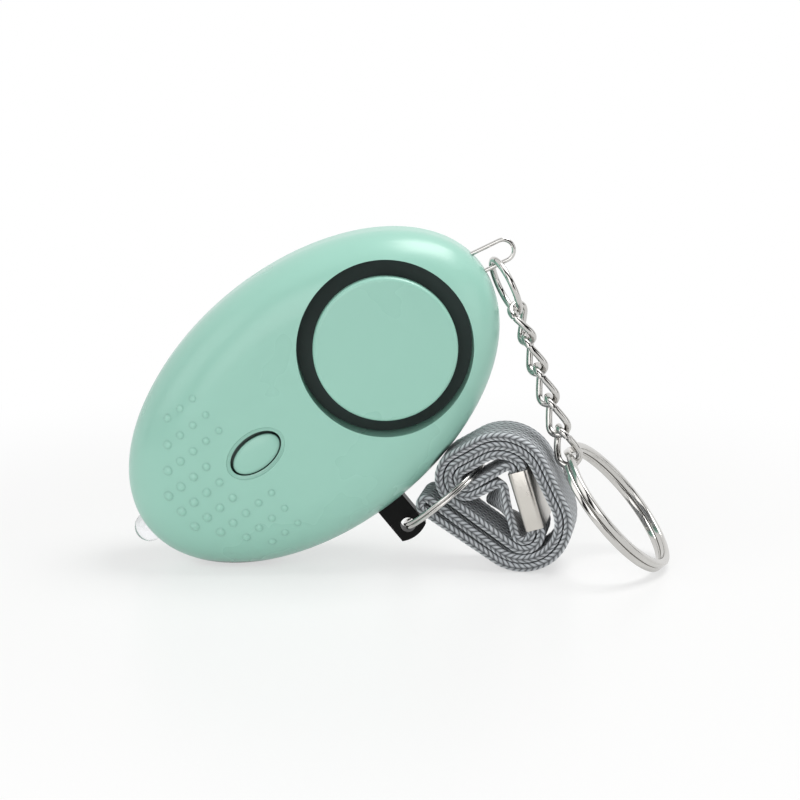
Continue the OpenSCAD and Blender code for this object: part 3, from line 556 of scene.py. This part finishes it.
# points of the strap's middle line, each with its heading and the shift of its rear edge
def strapRoute():
    stops = strapStops()
    heads = []
    for (p, r), (q, k) in zip(stops, stops[1:]):
        v = q - p
        heads.append(math.atan2(v.y, v.x) - math.asin((k - r) / v.length))
    peak = strap["peakStop"]
    away = Vector((math.cos(heads[peak]), math.sin(heads[peak]))) * strap["foldSkew"]
    route = [(stops[0][0], heads[0], Vector((0, 0)))]

    def addLine(to, head, i):
        start = route[-1][0]
        n = max(1, round((to - start).length / strap["step"]))
        left = Vector((-math.sin(head), math.cos(head)))
        for k in range(1, n + 1):
            u = k / n
            shift = Vector((0, 0))
            if i == peak:
                twist = math.sin(math.pi * u ** strap["bulgeHigh"]) ** strap["bulgeSharp"]
                shift = away * easeIn(u) + left * strap["bulge"] * twist
            if i == peak + 1:
                shift = away * (1 - u)
            route.append((start.lerp(to, u), head, shift))

    for i in range(1, len(stops) - 1):
        p, r = stops[i]
        turn = (heads[i] - heads[i - 1]) % (2 * math.pi)
        if r < 0:
            turn -= 2 * math.pi
        n = max(2, math.ceil(abs(turn * r) / strap["step"]))
        arc = []
        for k in range(n + 1):
            a = heads[i - 1] + turn * k / n
            shift = away if i == peak else Vector((0, 0))
            arc.append((p - r * Vector((-math.sin(a), math.cos(a))), a, shift))
        addLine(arc[0][0], heads[i - 1], i)
        route += arc[1:]
    addLine(stops[-1][0], heads[-1], len(stops))
    return route


# how far a point is inside the clip's length, from 0 to 1
def inClip(p):
    turn = math.radians(strap["crimpTurn"])
    away = p - Vector(strap["crimp"])
    u = away.x * math.cos(turn) + away.y * math.sin(turn)
    v = away.y * math.cos(turn) - away.x * math.sin(turn)
    if abs(abs(v) - strap["layer"] / 2) > strap["pinchNear"]:
        return 0
    ease = strap["pinchEase"]
    return easeIn((u + ease) / (2 * ease)) * easeIn((strap["crimpL"] + ease - u) / (2 * ease))


def strapPlace():
    return Matrix.Translation(Vector(strap["hole"])) @ turned("Z", -strap["yaw"]) @ turned("X", 90)


def eyeAt():
    return Vector((strap["eyeRight"], strap["thickCad"] / 2 - strap["rollLow"] - strap["hole"][2]))


def makeStrap():
    s = strap
    place, eye = strapPlace(), eyeAt()
    half = s["width"] / 2
    rings, along = [], [0.0]
    route = strapRoute()
    for i, (p, a, shift) in enumerate(route):
        if i:
            along.append(along[-1] + (p - route[i - 1][0]).length)
        normal = Vector((-math.sin(a), math.cos(a)))
        lean = math.asin(shift.dot(normal) / s["width"])
        deeper = math.sqrt(1 - (shift.length / s["width"]) ** 2)
        pressed = 1 - s["pinch"] * inClip(p)
        height = p.y + eye.y + s["hole"][2]
        lift = s["lift"] * max(0, 1 - height / s["liftOver"])
        ring = []
        for (q, out), across in zip(section, around):
            q = q + out * weave["rise"] * weaveHeight(across, along[-1])
            back, t = half - q.x, q.y * pressed
            flat = p + eye + shift * back / s["width"] + normal * t * math.cos(lean)
            deep = half - back * deeper + t * math.sin(lean)
            ring.append(place @ Vector((flat.x, flat.y + lift, s["shift"] + deep)))
        rings.append(ring)
    obj = skinRings("wristWebbing", rings, False, along)
    finishPiece(obj, "wrist_strap", "webbing", greyWebbing, "wrist_strap")
    print("strap length", round(along[-1], 1), "mm,", len(rings), "rings of", len(section))


makeStrap()

# folded clip round the strap's two ends
clip = {
    "thick": 3.4, "wide": 10.7, "round": 0.85, "roundSteps": 8,
    "wall": 0.3, "rim": 0.07, "rimSteps": 2, "rimAngle": 50,
}


def makeClip():
    long, thick, wide = strap["crimpL"], clip["thick"], clip["wide"]
    deselectAll()
    bpy.ops.mesh.primitive_cube_add(size=mm, location=(0, 0, 0))
    obj = bpy.context.object
    obj.name = "strapClip"
    obj.scale = (long, thick, wide)
    applyPlace(obj)
    bpy.ops.object.mode_set(mode="EDIT")
    bpy.ops.mesh.select_mode(type="FACE")
    bpy.ops.mesh.select_all(action="DESELECT")
    bpy.ops.object.mode_set(mode="OBJECT")
    for face in obj.data.polygons:
        face.select = abs(face.normal.x) > 0.9
    bpy.ops.object.mode_set(mode="EDIT")
    bpy.ops.mesh.delete(type="FACE")
    bpy.ops.mesh.select_mode(type="EDGE")
    bpy.ops.mesh.select_all(action="DESELECT")
    bpy.ops.object.mode_set(mode="OBJECT")
    for edge in obj.data.edges:
        a, b = (obj.data.vertices[k].co for k in edge.vertices)
        edge.select = abs(a.x - b.x) > long * mm / 2
    bpy.ops.object.mode_set(mode="EDIT")
    bpy.ops.mesh.bevel(offset=clip["round"] * mm, segments=clip["roundSteps"], affect="EDGES")
    bpy.ops.mesh.select_all(action="SELECT")
    bpy.ops.mesh.remove_doubles(threshold=mergeWithin)
    bpy.ops.mesh.normals_make_consistent(inside=False)
    bpy.ops.object.mode_set(mode="OBJECT")
    wall = obj.modifiers.new("wall", "SOLIDIFY")
    wall.thickness = clip["wall"] * mm
    wall.offset = -1
    rim = obj.modifiers.new("rim", "BEVEL")
    rim.width = clip["rim"] * mm
    rim.segments = clip["rimSteps"]
    rim.limit_method = "ANGLE"
    rim.angle_limit = math.radians(clip["rimAngle"])
    applyModifiers(obj)
    eye, top = eyeAt(), Vector(strap["crimp"])
    place = strapPlace() @ Matrix.Translation(Vector((eye.x + top.x, eye.y + top.y, strap["shift"])))
    place = place @ turned("Z", strap["crimpTurn"]) @ Matrix.Translation(Vector((long / 2, 0, 0)))
    place.translation = place.translation * mm
    obj.matrix_world = place
    applyPlace(obj)
    closeMesh(obj, 35)
    finishPiece(obj, "wrist_strap", "steel", satinNickel, "strap_crimp")
    print("clip made")


makeClip()

# twisted links: each a long loop of round wire that turns about its length
chain = {
    "first": (19.8835, 1.73867, 40.077), "lean": 19.8827, "front": 9, "count": 5, "step": 5.3,
    "inner": 5.45, "outer": 4.8, "wire": 1.15,
    "upper": -125, "lower": -35, "turn": 7, "firstMore": -25, "lastMore": 23,  # degrees at the two ends
    "endSteps": 28, "sideSteps": 10, "sides": 18,
}


# the wire's middle line in the link's own frame
def linkPath(i):
    b = (chain["outer"] - chain["wire"]) / 2
    a = (chain["inner"] + chain["wire"]) / 2
    flat = a - b
    half = []
    for k in range(chain["endSteps"] + 1):
        t = math.pi * k / chain["endSteps"]
        half.append((b * math.cos(t), flat + b * math.sin(t)))
    half += [(-b, flat * (1 - 2 * k / chain["sideSteps"])) for k in range(1, chain["sideSteps"])]
    loop = half + [(-x, -z) for x, z in half]
    upper = chain["upper"] + chain["turn"] * i + (chain["firstMore"] if i == 0 else 0)
    lower = chain["lower"] + chain["turn"] * i + (chain["lastMore"] if i == chain["count"] - 1 else 0)
    path = []
    for x, z in loop:
        t = math.radians(upper + (lower - upper) * (a - z) / (2 * a))
        path.append(Vector((x * math.cos(t), x * math.sin(t), z)))
    return path


# circles along a closed path, each turned as little as can be from the one before
def roundRings(path, radius, sides, place):
    rings, n = [], len(path)
    side = None
    for i, p in enumerate(path):
        run = (path[(i + 1) % n] - path[i - 1]).normalized()
        out = Vector((p.x, p.y, 0)).normalized() if side is None else side.cross(run)
        side = run.cross(out).normalized()
        up = run.cross(side)
        ring = []
        for k in range(sides):
            t = 2 * math.pi * k / sides
            ring.append(place @ (p + (side * math.cos(t) + up * math.sin(t)) * radius))
        rings.append(ring)
    return rings


def makeLinks():
    down = hungAt((0, 0, 0), chain["lean"], chain["front"], 0) @ Vector((0, 0, -1))
    for i in range(chain["count"]):
        middle = Vector(chain["first"]) + down * chain["step"] * i
        place = hungAt(middle, chain["lean"], chain["front"], 0)
        rings = roundRings(linkPath(i), chain["wire"] / 2, chain["sides"], place)
        name = "chain_link_" + str(i + 1)
        obj = skinRings("curbLink" + str(i + 1), rings, True)
        finishPiece(obj, name, "chrome", polishedNickel, name)
    print("links made")


makeLinks()

# plain ring between the wire loop and the first link
openRing = {
    "at": (17.1992, 2.73451, 46.0429), "lean": 26, "front": 8.5, "spin": -76,
    "middle": 4.7, "wire": 1.1, "turnSteps": 96, "wireSteps": 20,
}


def makeOpenRing():
    deselectAll()
    bpy.ops.mesh.primitive_torus_add(
        major_radius=openRing["middle"] * mm, minor_radius=openRing["wire"] / 2 * mm,
        major_segments=openRing["turnSteps"], minor_segments=openRing["wireSteps"],
    )
    obj = bpy.context.object
    obj.name = "openRing"
    place = hungAt(openRing["at"], openRing["lean"], openRing["front"], openRing["spin"]) @ turned("X", 90)
    place.translation = place.translation * mm
    obj.matrix_world = place
    applyPlace(obj)
    closeMesh(obj)
    finishPiece(obj, "chain_ring", "chrome", polishedNickel, "chain_ring")
    print("open ring made")


makeOpenRing()

# split rings: wire in two flat turns that step over from one to the other
splitRings = {
    "keySplitRing": {  # section: width, thickness, corner and their steps
        "node": "key_ring", "body": "key_ring", "slot": "chrome", "middle": 11.85,
        "section": (1.3, 1.11, 0.32, 2, 4), "rise": 0.57, "start": 90, "steps": 220,
        "place": hungAt((35.4071, -1.80848, 10.1898), 41.8546, 0, 79.5) @ turned("X", 90),
    },
    "pinSplitRing": {
        "node": "pin_ring", "body": "wrist_strap", "slot": "steel", "middle": 8.09915,
        "section": (0.6, 0.6, 0.299, 1, 5), "rise": 0.3, "start": 200, "steps": 160,
        "place": None,
    },
}
ringGap = {"ends": 0.055, "step": 0.045}  # shares of a turn: bare ends, and half of the step


def pinRingPlace():
    eye = eyeAt()
    end = eye + Vector(strap["ringFar"])
    aside = Vector((end.length - splitRings["pinSplitRing"]["middle"], 0, strap["shift"]))
    turn = math.degrees(math.atan2(end.y, end.x))
    return strapPlace() @ turned("Z", turn) @ Matrix.Translation(aside) @ turned("X", 90)


def makeSplitRing(name):
    spec = splitRings[name]
    place = spec["place"] or pinRingPlace()
    outline = roundedSection(*spec["section"])
    rings = []
    for k in range(spec["steps"] + 1):
        t = ringGap["ends"] + (2 - 2 * ringGap["ends"]) * k / spec["steps"]
        a = math.radians(spec["start"] + 360 * t)
        up = spec["rise"] * (2 * easeIn((t - 1 + ringGap["step"]) / (2 * ringGap["step"])) - 1)
        out = Vector((math.cos(a), math.sin(a), 0))
        ring = [out * (spec["middle"] + q.x) + Vector((0, 0, up + q.y)) for q, u in outline]
        rings.append([place @ p for p in ring])
    obj = skinRings(name, rings, False)
    finishPiece(obj, spec["body"], spec["slot"], polishedNickel, spec["node"])
    print(name, "made")


for ringName in splitRings:
    makeSplitRing(ringName)
